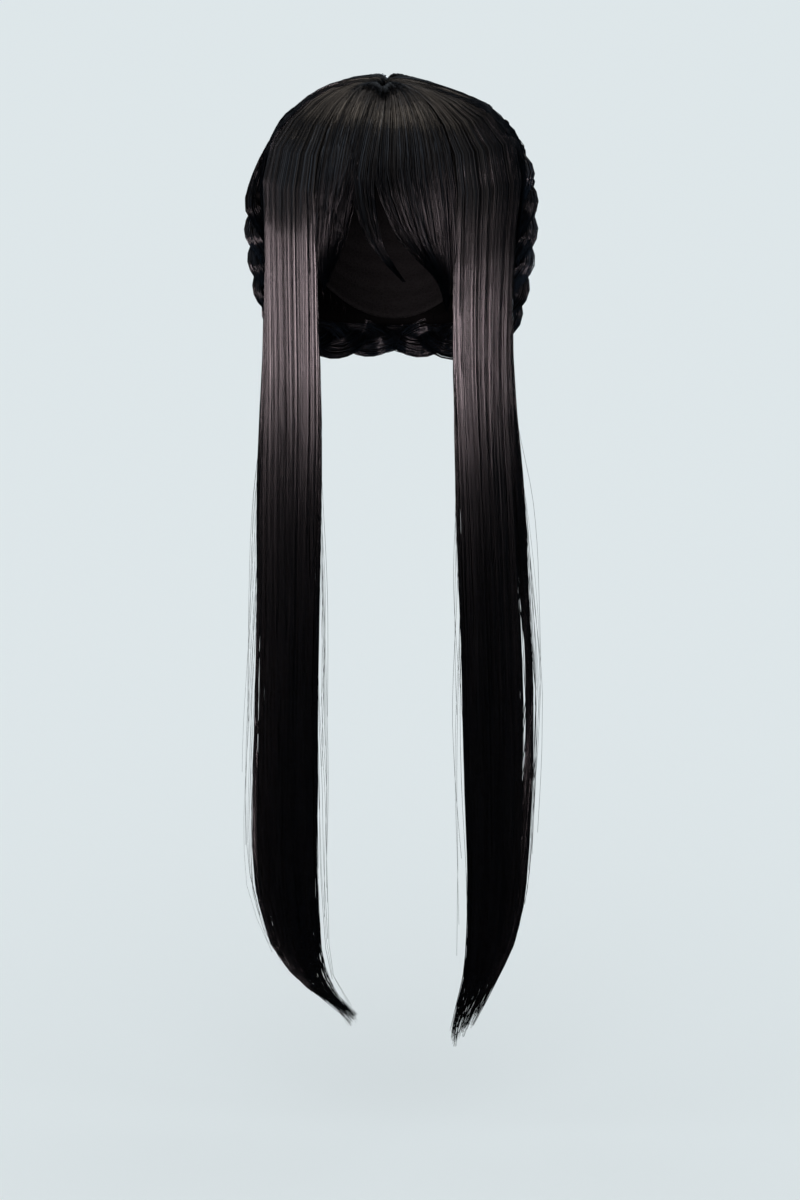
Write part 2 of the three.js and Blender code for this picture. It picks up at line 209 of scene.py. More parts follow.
# Hanging sections of each sidelock: their height, the distance of their inner and outer edge from the
# middle, how far forward they have come, the share kept of their depth at the temple, and half their
# thickness
SIDELOCK_KEPT = (1, 1, 1, 1, 1, 1, 0.94, 0.84, 0.72, 0.58, 0.48, 0.37, 0.3, 0.22, 0.12)
SIDELOCK_HALF = (9, 9, 9, 9, 8.5, 8.5, 8, 8, 8, 7.5, 7, 6, 5, 4, 1.2)
SIDELOCK_LEFT = {
    "z": (-85, -110, -142, -173, -215, -270, -342, -413, -469, -525, -560, -597, -616, -630, -645),
    "inner": (43, 43, 43, 43, 43.5, 45.5, 47.5, 49.5, 49.5, 50.5, 49.5, 47.5, 42.5, 35.5, 20.5),
    "outer": (89, 89, 89.5, 89, 89.5, 90, 90.5, 92.5, 94, 95, 92.5, 82, 70, 55, 30),
    "forward": (7.8, 10.7, 14.1, 17.2, 21, 24.4, 25.9, 26.4, 26.6, 26.7, 26.7, 26.7, 26.7, 26.7, 26.7),
    "kept": SIDELOCK_KEPT,
    "half": SIDELOCK_HALF,
}
SIDELOCK_RIGHT = {
    "z": (-85, -110, -142, -173, -215, -270, -342, -410, -464, -520, -557, -589, -612, -633, -654),
    "inner": (44, 44, 45, 48, 49.5, 50.5, 53.5, 55.5, 57.5, 59.5, 59.5, 58.5, 56, 50.5, 45.5),
    "outer": (83, 82.5, 82.5, 84.5, 88, 92.5, 96.5, 100.5, 100, 98, 95.5, 89.5, 80, 70, 60),
    "forward": (13, 16.8, 20.8, 24, 27.6, 31, 32.4, 32.8, 33, 33, 33, 33, 33, 33, 33),
    "kept": SIDELOCK_KEPT,
    "half": SIDELOCK_HALF,
}

# Fibres of a sidelock
SIDELOCK_FIBRES = 940
SIDELOCK_STEPS = 31
SIDELOCK_STEP_SHARES = (0, 0.36, 0.66, 1)
SIDELOCK_STEP_RUNS = (0, HEAD_SHARE + 0.06, 0.8, 1)
SIDELOCK_CLUMPS = 56
SIDELOCK_CLUMPING = (0.05, 0.25)
SIDELOCK_OUTER_SHARE = 0.66
SIDELOCK_LIFT = 0.04
SIDELOCK_TIP_RUN = 0.07
SIDELOCK_WAVE_X = 0.8
SIDELOCK_WAVES_X = 2.5
SIDELOCK_WAVE_Y = 0.6
SIDELOCK_WAVES_Y = 2
HANG_START = 0.3

# Tips of a sidelock: the section from which hairs end, and the points that the last of them are drawn to
TAIL_SECTION = 9
TAIL_POWER = 1.3
TIP_POINTS = 8
TIP_START = 0.92
TIP_CLUMPING = 0.6
CLUMP_END_SPREAD = 2.5
POINT_END_SPREAD = 6

# Painted shade at the temple: the share of its gloss and colour that each sidelock keeps there, on the half
# that lies towards its braid
TEMPLE_PAINTED_SHADE = {-1: 1, 1: 0.18}
TEMPLE_ACROSS = (-0.5, 0.1)
TEMPLE_TOP_LEVELS = (0.42, 0.55)
TEMPLE_LOW_LEVELS = (0.85, 1.5)

# Loose strands at the outer edge of each sidelock: where across the lock they start and how they hang
LOOSE_EDGE = {-1: 0.62, 1: 0.45}
LOOSE_GAP = 0.3
LOOSE_REACH = 1.02
LOOSE_DEPTH = 0.75
LOOSE_STRANDS = 4
LOOSE_START = (0.48, 0.66)
LOOSE_END = (0.8, 0.95)
LOOSE_EASING = 0.03
LOOSE_PULL = 0.95
LOOSE_WANDER = 0.03
LOOSE_WAVES = 1.1
LOOSE_PHASE = 0.37
LOOSE_SPREAD = 0.012

# Stray hairs
STRAY_FIBRES = 42
STRAY_HALF_WIDTH = 0.13
STRAY_END_Z = (-640, -380)
STRAY_OUTER_SHARE = 0.6
STRAY_ROOT_REACH = 0.7
STRAY_REACH = (0.95, 1.4)
STRAY_REACH_RUN = (0.3, 0.85)
STRAY_DEPTH = 0.9
STRAY_WAVE_X = 2.6
STRAY_WAVES_X = 1.2
STRAY_WAVE_Y = 2.5
STRAY_WAVES_Y = 1
STRAY_FACING = (0.3, -0.95, 0)
STRAY_TONE = 0.3

# Packed core of a sidelock, which draws back where the loose strands come away
SIDELOCK_CORE_SIDES = 24
SIDELOCK_CORE_ROWS = 60
SIDELOCK_CORE_LAST_SECTION = -3
SIDELOCK_CORE_WIDTH = 0.9
SIDELOCK_CORE_DEPTH = 0.6
SIDELOCK_CORE_TIP = 0.35
SIDELOCK_CORE_TIP_START = 0.9
SIDELOCK_CORE_ROOT = -0.01
LOOSE_CLEARANCE = 0.1

# Braids: three strands that cross over each other on a route from the temple round to the nape
BRAID_PITCH = 72
BRAID_SWING = 10.5
BRAID_RISE = 3.6
STRAND_HALF_WIDTH = 8.2
STRAND_HALF_DEPTH = 5
STRAND_COUNT = 3
BRAID_LEFT_START = 0.2
BRAID_RIGHT_START = 0
BRAID_END = 1.05
BRAID_END_START = 0.94
BRAID_END_SIZE = 0.8
BRAID_ROUTE = {
    "phi": (92, 95, 97.5, 101, 107, 119, 146, 176),
    "z": (-32, -57, -84, -112, -139, -163, -175, -176),
    "offset": (16, 17, 17.5, 18.5, 19.5, 19, 16, 14),
    "size": (0.75, 1, 1, 1, 1, 1, 0.95, 0.85),
}
ROUTE_STEPS = 400
STRAND_FIBRES = 100
STRAND_STEPS = 58
STRAND_LAYER = 0.35
STRAND_TWIST = 1.1
STRAND_WANDER = 0.25
STRAND_WAVES = 3
STRAND_TONE_SHARE = 0.6
BRAID_TIP_RUN = 0.05
BRAID_CORE_SIDES = 12
BRAID_CORE_ROWS = 70
BRAID_CORE_SHARE = 0.8

# Fan of hair that leads from the parting into a braid
FAN_STEPS = 12
FAN_FRONT_PHI = 66
FAN_BACK_PHI = 134
FAN_LIFT = (-1.5, 0.3)
FAN_ROW_POWER = 1.4
FAN_JOIN = (0.7, 1)
FAN_BLEND_STEPS = 3
FAN_BLEND_PASSES = 4
FAN_TONE_STEPS = 12

# Hair swept from the temple under a braid
SWEPT_FIBRES = 200
SWEPT_STEPS = 18
SWEPT_FRONT_PHI = 48
SWEPT_BACK_PHI = 78
SWEPT_PHI_SPREAD = 1.5
SWEPT_END = 0.65
SWEPT_TURN = 0.15
SWEPT_TURN_LAG = 0.3
SWEPT_ROW_POWER = 1.3
SWEPT_LIFT = 0.6
SWEPT_BED = 16
SWEPT_BED_RUN = (0.7, 0.97)
SWEPT_FORWARD_RUN = (0.55, 0.95)
SWEPT_TONE = 0.15

# Camera: at the height and slope of the photograph, for a frame of 800 by 1200
CAMERA_PLACE = (0.0698, -1.99878, 0.159)
CAMERA_PITCH = 14.5
CAMERA_TURN = 1.8014
CAMERA_LENS = 86.55
CAMERA_SENSOR = 36

# Studio: floor and softboxes in metres, watts and degrees
FLOOR_Z = -0.73
FLOOR_SIZE = 60
Softbox = namedtuple("Softbox", "name width height watts place slope turn colour")
SOFTBOXES = (
    Softbox("top_softbox", 1.8, 0.8, 22, (0, -0.5, 1.5), 0, 0, "#fff0e0"),
    Softbox("crown_softbox", 1.8, 0.7, 8, (0, 0.25, 1.5), 0, 0, "#fff4ec"),
    Softbox("high_softbox", 3, 2.2, 13, (0, -1.9, 1), 55, 0, "#fff4ec"),
    Softbox("wall_softbox", 3.4, 1.2, 3, (0, 2, 0.6), -90, 0, "#dde8f4"),
    Softbox("back_softbox", 1.2, 0.8, 22, (0, 2.2, -0.5), -90, 0, "#dde8f4"),
    Softbox("left_softbox", 2, 1.6, 12, (-2.2, -0.3, 0.9), 60, -90, "#c8daf2"),
    Softbox("right_softbox", 2, 1.6, 9, (2.2, -0.3, 0.9), 60, 90, "#c8daf2"),
    Softbox("front_softbox", 2.2, 0.43, 106, (-0.68, -2.75, -0.045), 90, -14, "#f6e0e6"),
)

# Colour sockets of a mix node
MIX_FROM = 6
MIX_TO = 7
MIX_RESULT = 2

# A bundle of fibre clumps: the line of each, the way its flat side faces, half its width, its tone from
# dull, 0, to glossy, 1, which also carries painted shade, and its roll about the line
Hairs = namedtuple("Hairs", "line out half tone roll")


def mix(a, b, t):
    return a + (b - a) * t


def ease(low, high, at):
    t = np.clip((at - low) / (high - low), 0, 1)
    return t * t * (3 - 2 * t)


def unit(vectors):
    return vectors / np.linalg.norm(vectors, axis=-1, keepdims=True)


# Rings of the cap. Hair that hangs drops straight from the widest ring.
def ring_at(level, hangs):
    rise = np.clip(level, 0, 1) * 0.5 * np.pi
    spread = np.sin(rise) ** (2 / DOME_POWER)
    lift = np.abs(np.cos(rise)) ** (2 / DOME_POWER)
    below = np.maximum(level - 1, 0)
    shrink = 0 * below if hangs else below**NAPE_POWER
    half_width = CAP_HALF_WIDTH * spread - NAPE_NARROWING * shrink
    half_depth = mix(PARTING_HALF_LENGTH, CAP_HALF_DEPTH, spread) - NAPE_HOLLOW * shrink
    centre_x = mix(PARTING_X, 0, spread)
    centre_y = mix(PARTING_Y, CAP_Y, spread)
    z = TEMPLE_Z + (CAP_WALL - TEMPLE_Z) * lift - (TEMPLE_Z - NAPE_Z) * below
    return half_width, half_depth, centre_x, centre_y, z


def level_at(z):
    below = 1 + (TEMPLE_Z - z) / (TEMPLE_Z - NAPE_Z)
    lift = np.clip((z - TEMPLE_Z) / (CAP_WALL - TEMPLE_Z), 0, 1)
    above = np.arccos(lift ** (DOME_POWER / 2)) / (0.5 * np.pi)
    return np.where(z < TEMPLE_Z, below, above)


def on_head(phi, level, hangs=False):
    half_width, half_depth, centre_x, centre_y, z = ring_at(level, hangs)
    turn = np.radians(phi)
    x = centre_x + half_width * np.sin(turn)
    y = centre_y - half_depth * np.cos(turn)
    return np.stack(np.broadcast_arrays(x, y, z), axis=-1)


def out_of_head(phi, level, hangs=False):
    phi_step = 0.5
    level_step = 0.004
    across = on_head(phi + phi_step, level, hangs) - on_head(phi - phi_step, level, hangs)
    down = on_head(phi, level + level_step, hangs) - on_head(phi, level - level_step, hangs)
    return unit(np.cross(down, across))


def off_head(phi, level, offset, hangs=False):
    return on_head(phi, level, hangs) + np.asarray(offset)[..., None] * out_of_head(phi, level, hangs)


def rim_level(rim, phi):
    levels = 0
    for shift in RIM_EASING:
        turn = (phi + shift) % 360
        from_face = np.minimum(turn, 360 - turn)
        levels = levels + np.interp(from_face, rim["phi"], rim["level"]) / len(RIM_EASING)
    return levels


def hair_depth(phi, level):
    over = np.sin(np.radians(phi))
    depth = np.interp(level, HAIR_DEPTH["level"], HAIR_DEPTH["depth"])
    left = np.interp(level, HAIR_DEPTH["level"], HAIR_DEPTH["left"])
    right = np.interp(level, HAIR_DEPTH["level"], HAIR_DEPTH["right"])
    return depth + np.where(over < 0, left, right) * over**2


# Combing: hairs spread over a sheet from -1 to 1, each with the middle and the lift of its clump
def comb(rng, count, clumps):
    place = (rng.permutation(count) + rng.random(count)) / count * 2 - 1
    clump = np.floor((0.5 + 0.5 * place) * clumps + rng.normal(0, CLUMP_BLUR, count))
    clump = np.clip(clump, 0, clumps - 1).astype(int)
    drift = rng.uniform(-CLUMP_DRIFT, CLUMP_DRIFT, clumps)
    middle = (np.arange(clumps) + 0.5 + drift) / clumps * 2 - 1
    lift = rng.normal(0, 1, clumps)
    shade = rng.random(clumps)
    tone = CLUMP_TONE_SHARE * shade[clump] + (1 - CLUMP_TONE_SHARE) * rng.random(count)
    return place, middle[clump], lift[clump], tone


# Places of hairs through a lock's thickness, from its inside, -1, to its outside, 1: most lie on the faces
def through(rng, count, outer_share):
    outside = rng.random(count) < outer_share
    depth = 1 - LAYER_DEPTH * rng.random(count) ** LAYER_POWER
    return np.where(outside, depth, -depth)


# Half the width of a clump, which is slim at its root and drawn to a point
def taper(run, tip=TIP_RUN):
    at_root = mix(ROOT_SLIMNESS, 1, ease(0, ROOT_RUN, run))
    at_tip = mix(TIP_SLIMNESS, 1, ease(0, tip, 1 - run))
    return FIBRE_HALF_WIDTH * np.minimum(at_root, at_tip)


def rolls(rng, count):
    return rng.uniform(-FIBRE_ROLL, FIBRE_ROLL, count)


def sway(rng, count, run, waves):
    turns = rng.uniform(0, 1, (count, 1)) + run * waves * rng.uniform(*WAVE_SPREAD, (count, 1))
    return np.sin(2 * np.pi * turns)


def root_rise(level):
    return mix(ROOT_PRESS, 1, ease(0, ROOT_RISE_LEVEL, level))


# Painted shade: hair is painted darker and duller near its root by the parting, where it lies close to the
# cap
def root_painted_shade(tone, level):
    return tone[:, None] * mix(ROOT_PAINTED_SHADE, 1, ease(*ROOT_SHADE_LEVELS, level))


# The parting runs on over the crown as a groove that fades towards the back
def parting_groove(phi, level):
    beside = ring_at(level, False)[0] * np.sin(np.radians(phi)) / GROOVE_HALF_WIDTH
    return 1 - GROOVE_SHARE * np.exp(-(beside**2)) * (1 - ease(*GROOVE_FADE, level))


# The route of a braid, and the smooth curve through its points
def route_points(extra=0.0):
    phi = np.array(BRAID_ROUTE["phi"], float)
    level = level_at(np.array(BRAID_ROUTE["z"], float))
    return off_head(phi, level, np.array(BRAID_ROUTE["offset"], float) + extra)


def curve_through(points, run):
    last = len(points) - 1
    slope = np.gradient(points, axis=0)
    piece = np.minimum((run * last).astype(int), last - 1)
    t = (run * last - piece)[..., None]
    a, b, slope_a, slope_b = points[piece], points[piece + 1], slope[piece], slope[piece + 1]
    rise = t * t * (3 - 2 * t)
    return mix(a, b, rise) + t * (1 - t) * ((1 - t) * slope_a - t * slope_b)


def route_value(column, run):
    rows = np.linspace(0, 1, len(BRAID_ROUTE[column]))
    return np.interp(run, rows, BRAID_ROUTE[column])


def route_length():
    points = curve_through(route_points(), np.linspace(0, 1, ROUTE_STEPS))
    return np.sum(np.linalg.norm(np.diff(points, axis=0), axis=-1))


# Crown hair in front of a braid is swept back under it, and is pressed into a bed where the braid lies
def under_braid_phi(phi, level):
    right = np.where(phi > 180, 360 - phi, phi)
    back = UNDER_BRAID_SHARE * ease(*UNDER_BRAID_LEVELS, level) * np.maximum(UNDER_BRAID_PHI - right, 0)
    return np.where(phi > 180, phi - back, phi + back)


def crown_depth(phi, level):
    run = np.linspace(0, 1, BED_STEPS + 1)
    middle = curve_through(route_points(), run)
    size = route_value("size", run)
    bed = route_value("offset", run) - (BRAID_RISE + STRAND_HALF_DEPTH) * size + BED_OVERLAP
    depth = hair_depth(phi, level)
    right = np.where(phi > 180, 360 - phi, phi)
    spots = off_head(right, level, hair_depth(right, level))
    gap = np.linalg.norm(spots[..., None, :] - middle, axis=-1)
    near = np.argmin(gap, axis=-1)
    away = np.min(gap, axis=-1) / size[near]
    return mix(bed[near], depth, ease(BED_INNER, BED_OUTER, away)) * parting_groove(phi, level)


# Crown hair: from the parting down both sides and the back
def crown_hairs(rng):
    count = CROWN_FIBRES
    place, middle, lift, tone = comb(rng, count, CROWN_CLUMPS)
    steps = np.linspace(0, 1, CROWN_STEPS)
    run = steps * rng.uniform(*CROWN_LENGTHS, (count, 1))
    drawn = mix(place[:, None], middle[:, None], CROWN_CLUMPING * ease(*CROWN_CLUMP_RUN, run))
    phi = 180 + (180 - CROWN_FRONT_PHI) * drawn
    level = mix(ROOT_LEVEL, rim_level(CROWN_RIM, phi), run**CROWN_ROW_POWER)
    phi = under_braid_phi(phi, level)
    share = 1 - CROWN_LAYER * rng.random((count, 1)) ** 2 + CROWN_LIFT * lift[:, None]
    offset = mix(HAIR_CLEARANCE, crown_depth(phi, level), share * root_rise(level))
    offset = offset + CROWN_WAVE * sway(rng, count, run, CROWN_WAVES)
    line = off_head(phi, level, offset)
    half = taper(steps) * rng.uniform(*FIBRE_WIDTHS, (count, 1))
    tone = root_painted_shade(tone, level)
    return [Hairs(line, out_of_head(phi, level), half, tone, rolls(rng, count))]


# Bangs: pointed locks on one fan, smooth over the crown and parted towards their tips
def bangs_hairs(rng):
    brow_level = level_at(np.array(BANGS_BROW_Z))
    return [bangs_lock_hairs(rng, lock, brow_level) for lock in BANGS_LOCKS]


def bangs_depth(phi, level, brow_level, to_tip, fullness):
    bow = BANGS_BOW * fullness * np.sin(np.pi * to_tip**BANGS_BOW_POWER)
    return mix(hair_depth(phi, np.minimum(level, brow_level)), BANGS_TIP_DEPTH, to_tip) + bow


def bangs_lock_hairs(rng, lock, brow_level):
    count = BANGS_LOCK_FIBRES
    place, middle, lift, tone = comb(rng, count, BANGS_LOCK_CLUMPS)
    tip_level = level_at(np.array(lock.tip_z))
    steps = np.linspace(0, 1, BANGS_STEPS)
    run = steps * (1 - BANGS_SHORTENING * rng.random((count, 1)) ** 2)
    level = mix(ROOT_LEVEL, tip_level, run**BANGS_ROW_POWER)
    to_brow = np.minimum(level / brow_level, 1)
    to_tip = np.clip((level - brow_level) / (tip_level - brow_level), 0, 1)
    drawn = mix(place[:, None], middle[:, None], BANGS_CLUMPING * ease(*BANGS_CLUMP_RUN, run))
    centre = mix(mix(lock.root_phi, lock.brow_phi, to_brow), lock.tip_phi, to_tip**lock.sweep)
    phi = centre + drawn * lock.half_phi * mix(1, BANGS_TIP_WIDTH, to_tip**lock.slimming)
    inner = mix(HAIR_CLEARANCE, BANGS_TIP_GAP, to_tip)
    fullness = 1 + BANGS_CLUMP_BOW * lift[:, None] + rng.normal(0, BANGS_HAIR_BOW, (count, 1))
    outer = bangs_depth(phi, level, brow_level, to_tip, fullness) * parting_groove(phi, level)
    round_lock = mix(1, np.sqrt(1 - drawn**2), ease(*BANGS_ROUND_RUN, to_tip))
    depth = through(rng, count, BANGS_OUTER_SHARE)[:, None] * round_lock + BANGS_LIFT * lift[:, None]
    offset = mix(inner, outer, (0.5 + 0.5 * depth) * root_rise(level))
    offset = offset + BANGS_WAVE * sway(rng, count, run, BANGS_WAVES)
    line = off_head(phi, level, offset, True)
    half = taper(steps) * rng.uniform(*BANGS_WIDTHS, (count, 1))
    # Painted shade: from the brow down the bangs are painted darker and duller
    tone = root_painted_shade(tone, level) * mix(1, BANGS_TIP_PAINTED_SHADE, ease(*BANGS_TIP_FADE, level / brow_level))
    return Hairs(line, out_of_head(phi, level, True), half, tone, rolls(rng, count))


# Sidelocks: combed over the temple, gathered into a flat lock, and hung to a curved tip
def section_value(sections, column, z):
    return np.interp(-z, -np.array(sections["z"]), sections[column])


def forward_reach(sections, z):
    below = -np.array(sections["z"])
    return np.interp(-z, (-LEAVING_Z, *below), (0, *sections["forward"]))


def gathered(z):
    return ease(-GATHER_TOP_Z, -GATHER_END_Z, -z)


def sidelock_phi(across):
    return mix(SIDELOCK_FRONT_PHI, SIDELOCK_BACK_PHI, 0.5 + 0.5 * across)


def sidelock_place(side, sections, across, depth, level, z):
    phi = side * sidelock_phi(across)
    lens = np.sqrt(np.clip(1 - np.abs(across) ** SIDELOCK_EDGE_POWER, 0, 1))
    deep = depth * mix(1, lens, ease(*SIDELOCK_EDGE_LEVELS, level))
    offset = mix(HAIR_CLEARANCE, hair_depth(phi, level), 0.5 + 0.5 * deep)
    combed = off_head(phi, level, offset, True)
    inner = section_value(sections, "inner", z)
    outer = section_value(sections, "outer", z)
    leaning = deep * section_value(sections, "half", z) * math.sin(math.radians(SIDELOCK_TURN))
    hung_x = side * (mix(inner, outer, 0.5 + 0.5 * across) + leaning)
    x = mix(combed[..., 0], hung_x, gathered(z))
    y = mix(SIDELOCK_Y, combed[..., 1], section_value(sections, "kept", z)) - forward_reach(sections, z)
    return np.stack((x, y, combed[..., 2]), axis=-1)


def sidelock_levels(run, end_z):
    over = np.clip(run / HEAD_SHARE, 0, 1) ** SIDELOCK_ROW_POWER
    head_level = mix(ROOT_LEVEL, 1, over)
    hang = np.clip((run - HEAD_SHARE) / (1 - HEAD_SHARE), 0, 1)
    hang_z = mix(TEMPLE_Z, end_z, hang)
    on_top = run < HEAD_SHARE
    level = np.where(on_top, head_level, level_at(hang_z))
    z = np.where(on_top, ring_at(head_level, True)[-1], hang_z)
    return level, z


# Ends of a sidelock's hairs: fewer reach each lower section, and each is drawn to one of the lock's points
def sidelock_ends(rng, sections, place, lift):
    area = (np.array(sections["outer"]) - np.array(sections["inner"])) * np.array(sections["half"])
    left = area[TAIL_SECTION:] / area[TAIL_SECTION]
    tail_z = np.array(sections["z"])[TAIL_SECTION:]
    end_z = np.interp(rng.random(len(place)) ** TAIL_POWER, left[::-1], tail_z[::-1])
    point = np.clip(np.floor((0.5 + 0.5 * place) * TIP_POINTS), 0, TIP_POINTS - 1).astype(int)
    end_z = end_z + CLUMP_END_SPREAD * lift + rng.normal(0, POINT_END_SPREAD, TIP_POINTS)[point]
    return end_z, (point + 0.5) / TIP_POINTS * 2 - 1


# Painted shade: the half of a sidelock towards its braid is painted darker and duller where it passes the
# temple
def temple_painted_shade(side, across, level):
    passing = ease(*TEMPLE_TOP_LEVELS, level) * (1 - ease(*TEMPLE_LOW_LEVELS, level))
    return mix(1, TEMPLE_PAINTED_SHADE[side], ease(*TEMPLE_ACROSS, across) * passing)


# The outer edge of a sidelock comes apart into thin strands below the jaw
def loose_strands(rng, edge, place, drawn, depth, run):
    strand = rng.integers(LOOSE_STRANDS, size=len(place))[:, None]
    wander = LOOSE_WANDER * np.sin(2 * np.pi * (LOOSE_WAVES * run + LOOSE_PHASE * strand))
    target = mix(edge + LOOSE_GAP, LOOSE_REACH, strand / (LOOSE_STRANDS - 1)) + wander
    target = target + LOOSE_SPREAD * sway(rng, len(place), run, 1)
    outside = ease(edge, edge + LOOSE_EASING, place)[:, None]
    apart = LOOSE_PULL * outside * ease(*LOOSE_START, run) * (1 - ease(*LOOSE_END, run))
    return mix(drawn, target, apart), mix(depth, LOOSE_DEPTH, apart)


def sidelock_hairs(side, sections, rng):
    count = SIDELOCK_FIBRES
    place, middle, lift, tone = comb(rng, count, SIDELOCK_CLUMPS)
    end_z, point = sidelock_ends(rng, sections, place, lift)
    run = np.interp(np.linspace(0, 1, SIDELOCK_STEPS), SIDELOCK_STEP_SHARES, SIDELOCK_STEP_RUNS)
    run = np.tile(run, (count, 1))
    level, z = sidelock_levels(run, end_z[:, None])
    hang = ease(HANG_START, 1, run)
    drawn = mix(place[:, None], middle[:, None], mix(*SIDELOCK_CLUMPING, hang))
    drawn = mix(drawn, point[:, None], TIP_CLUMPING * ease(TIP_START, 1, run))
    depth = through(rng, count, SIDELOCK_OUTER_SHARE)[:, None] + SIDELOCK_LIFT * lift[:, None]
    depth = (depth + 1) * root_rise(level) - 1
    drawn, depth = loose_strands(rng, LOOSE_EDGE[side], place, drawn, depth, run)
    line = sidelock_place(side, sections, drawn, depth, level, z)
    line[..., 0] += hang * SIDELOCK_WAVE_X * sway(rng, count, run, SIDELOCK_WAVES_X)
    line[..., 1] += hang * SIDELOCK_WAVE_Y * sway(rng, count, run, SIDELOCK_WAVES_Y)
    lean = math.radians(SIDELOCK_TURN)
    hung_out = np.sign(depth)[..., None] * (side * math.sin(lean), -math.cos(lean), 0)
    head_out = out_of_head(side * sidelock_phi(drawn), level, True)
    out = unit(mix(head_out, hung_out, gathered(z)[..., None]))
    half = taper(run, SIDELOCK_TIP_RUN) * rng.uniform(*FIBRE_WIDTHS, (count, 1))
    tone = root_painted_shade(tone, level) * temple_painted_shade(side, drawn, level)
    return [Hairs(line, out, half, tone, rolls(rng, count)), stray_hairs(side, sections, rng)]


# Single hairs that stand off the edges of a sidelock
def stray_hairs(side, sections, rng):
    count = STRAY_FIBRES
    run = np.tile(np.linspace(0, 1, SIDELOCK_STEPS), (count, 1))
    level, z = sidelock_levels(run, rng.uniform(*STRAY_END_Z, (count, 1)))
    edge = np.where(rng.random((count, 1)) < STRAY_OUTER_SHARE, 1, -1)
    reach = mix(STRAY_ROOT_REACH, rng.uniform(*STRAY_REACH, (count, 1)), ease(*STRAY_REACH_RUN, run))
    depth = rng.uniform(-STRAY_DEPTH, STRAY_DEPTH, (count, 1))
    line = sidelock_place(side, sections, edge * reach, depth, level, z)
    hang = ease(HANG_START, 1, run)
    line[..., 0] += hang * STRAY_WAVE_X * sway(rng, count, run, STRAY_WAVES_X)
    line[..., 1] += hang * STRAY_WAVE_Y * sway(rng, count, run, STRAY_WAVES_Y)
    out = np.broadcast_to(STRAY_FACING, line.shape) * (side, 1, 1)
    half = np.broadcast_to(STRAY_HALF_WIDTH, run.shape)
    tone = STRAY_TONE * rng.random((count, 1))
    return Hairs(line, out, half, tone, rolls(rng, count))


# Braids: three plump strands of parallel fibres
def strand_frame(run, phase):
    point = curve_through(route_points(), run)
    along = unit(np.gradient(point, axis=0))
    out = curve_through(route_points(BRAID_SWING), run) - point
    out = unit(out - np.sum(out * along, axis=-1, keepdims=True) * along)
    turn = (2 * np.pi * run * route_length() / BRAID_PITCH + phase)[:, None]
    size = route_value("size", run)[:, None]
    middle = point + np.cross(along, out) * size * BRAID_SWING * np.sin(turn)
    middle = middle + out * size * BRAID_RISE * np.sin(2 * turn)
    heading = unit(np.gradient(middle, axis=0))
    wide = unit(np.cross(heading, out))
    return middle, wide, np.cross(wide, heading), size


def braid_hairs(side, start, sections, rng):
    bundles = []
    count = STRAND_FIBRES
    steps = FAN_STEPS + STRAND_STEPS
    run = np.linspace(start, BRAID_END, STRAND_STEPS)
    joint = np.arange(FAN_STEPS - FAN_BLEND_STEPS, FAN_STEPS + FAN_BLEND_STEPS + 1)
    slim = mix(1, BRAID_END_SIZE, ease(BRAID_END_START, BRAID_END, run))
    # The fan keeps the painted shade of the roots, darker and duller, and loses it as it joins the plait
    fan_painted_shade = mix(ROOT_PAINTED_SHADE, 1, ease(FAN_STEPS, FAN_STEPS + FAN_TONE_STEPS, np.arange(steps)))
    for index in range(STRAND_COUNT):
        middle, wide, deep, size = strand_frame(run, 2 * np.pi * index / STRAND_COUNT)
        angle = rng.uniform(0, 2 * np.pi, count)
        radius = slim * (1 - STRAND_LAYER * rng.random((count, 1)) ** LAYER_POWER)
        wander = STRAND_WANDER * sway(rng, count, run, STRAND_WAVES)
        twist = angle[:, None] + STRAND_TWIST * (run - start) + wander
        sideways = (radius * np.sin(twist))[..., None] * size * STRAND_HALF_WIDTH
        outwards = (radius * np.cos(twist))[..., None] * size * STRAND_HALF_DEPTH
        plaited = middle + sideways * wide + outwards * deep
        out = unit(sideways / STRAND_HALF_WIDTH**2 * wide + outwards / STRAND_HALF_DEPTH**2 * deep)
        fan, fan_out = braid_fan(side, start, plaited, rng)
        line = np.concatenate((fan, plaited), axis=1) * (side, 1, 1)
        for _ in range(FAN_BLEND_PASSES):
            line[:, joint] = 0.5 * line[:, joint] + 0.25 * (line[:, joint - 1] + line[:, joint + 1])
        out = np.concatenate((fan_out, out), axis=1) * (side, 1, 1)
        half = taper(np.linspace(0, 1, steps), BRAID_TIP_RUN)
        half = half * rng.uniform(*FIBRE_WIDTHS, (count, 1))
        tone = (1 - STRAND_TONE_SHARE) * rng.random((count, 1)) + STRAND_TONE_SHARE * rng.random()
        bundles.append(Hairs(line, out, half, tone * fan_painted_shade, rolls(rng, count)))
    return bundles + [swept_hairs(side, sections, rng)]


# Hair that leaves the front of a sidelock and is swept over the temple under a braid
def swept_hairs(side, sections, rng):
    count = SWEPT_FIBRES
    t = np.linspace(0, 1, SWEPT_STEPS)[None]
    late = rng.random((count, 1))
    end = SWEPT_END * late
    root_phi = mix(SWEPT_FRONT_PHI, SWEPT_BACK_PHI, np.sqrt(late))
    root_phi = root_phi + rng.normal(0, SWEPT_PHI_SPREAD, (count, 1))
    phi = mix(root_phi, route_value("phi", end), ease(SWEPT_TURN + SWEPT_TURN_LAG * late, 1, t))
    level = mix(ROOT_LEVEL, level_at(route_value("z", end)), t**SWEPT_ROW_POWER)
    over = hair_depth(side * phi, level) + rng.uniform(-SWEPT_LIFT, SWEPT_LIFT, (count, 1))
    offset = mix(HAIR_CLEARANCE, mix(over, SWEPT_BED, ease(*SWEPT_BED_RUN, t)), root_rise(level))
    line = off_head(side * phi, level, offset)
    line[..., 1] -= forward_reach(sections, line[..., 2]) * (1 - ease(*SWEPT_FORWARD_RUN, t))
    half = taper(t) * rng.uniform(*FIBRE_WIDTHS, (count, 1))
    tone = root_painted_shade(SWEPT_TONE * rng.random(count), level)
    return Hairs(line, out_of_head(side * phi, level), half, tone, rolls(rng, count))


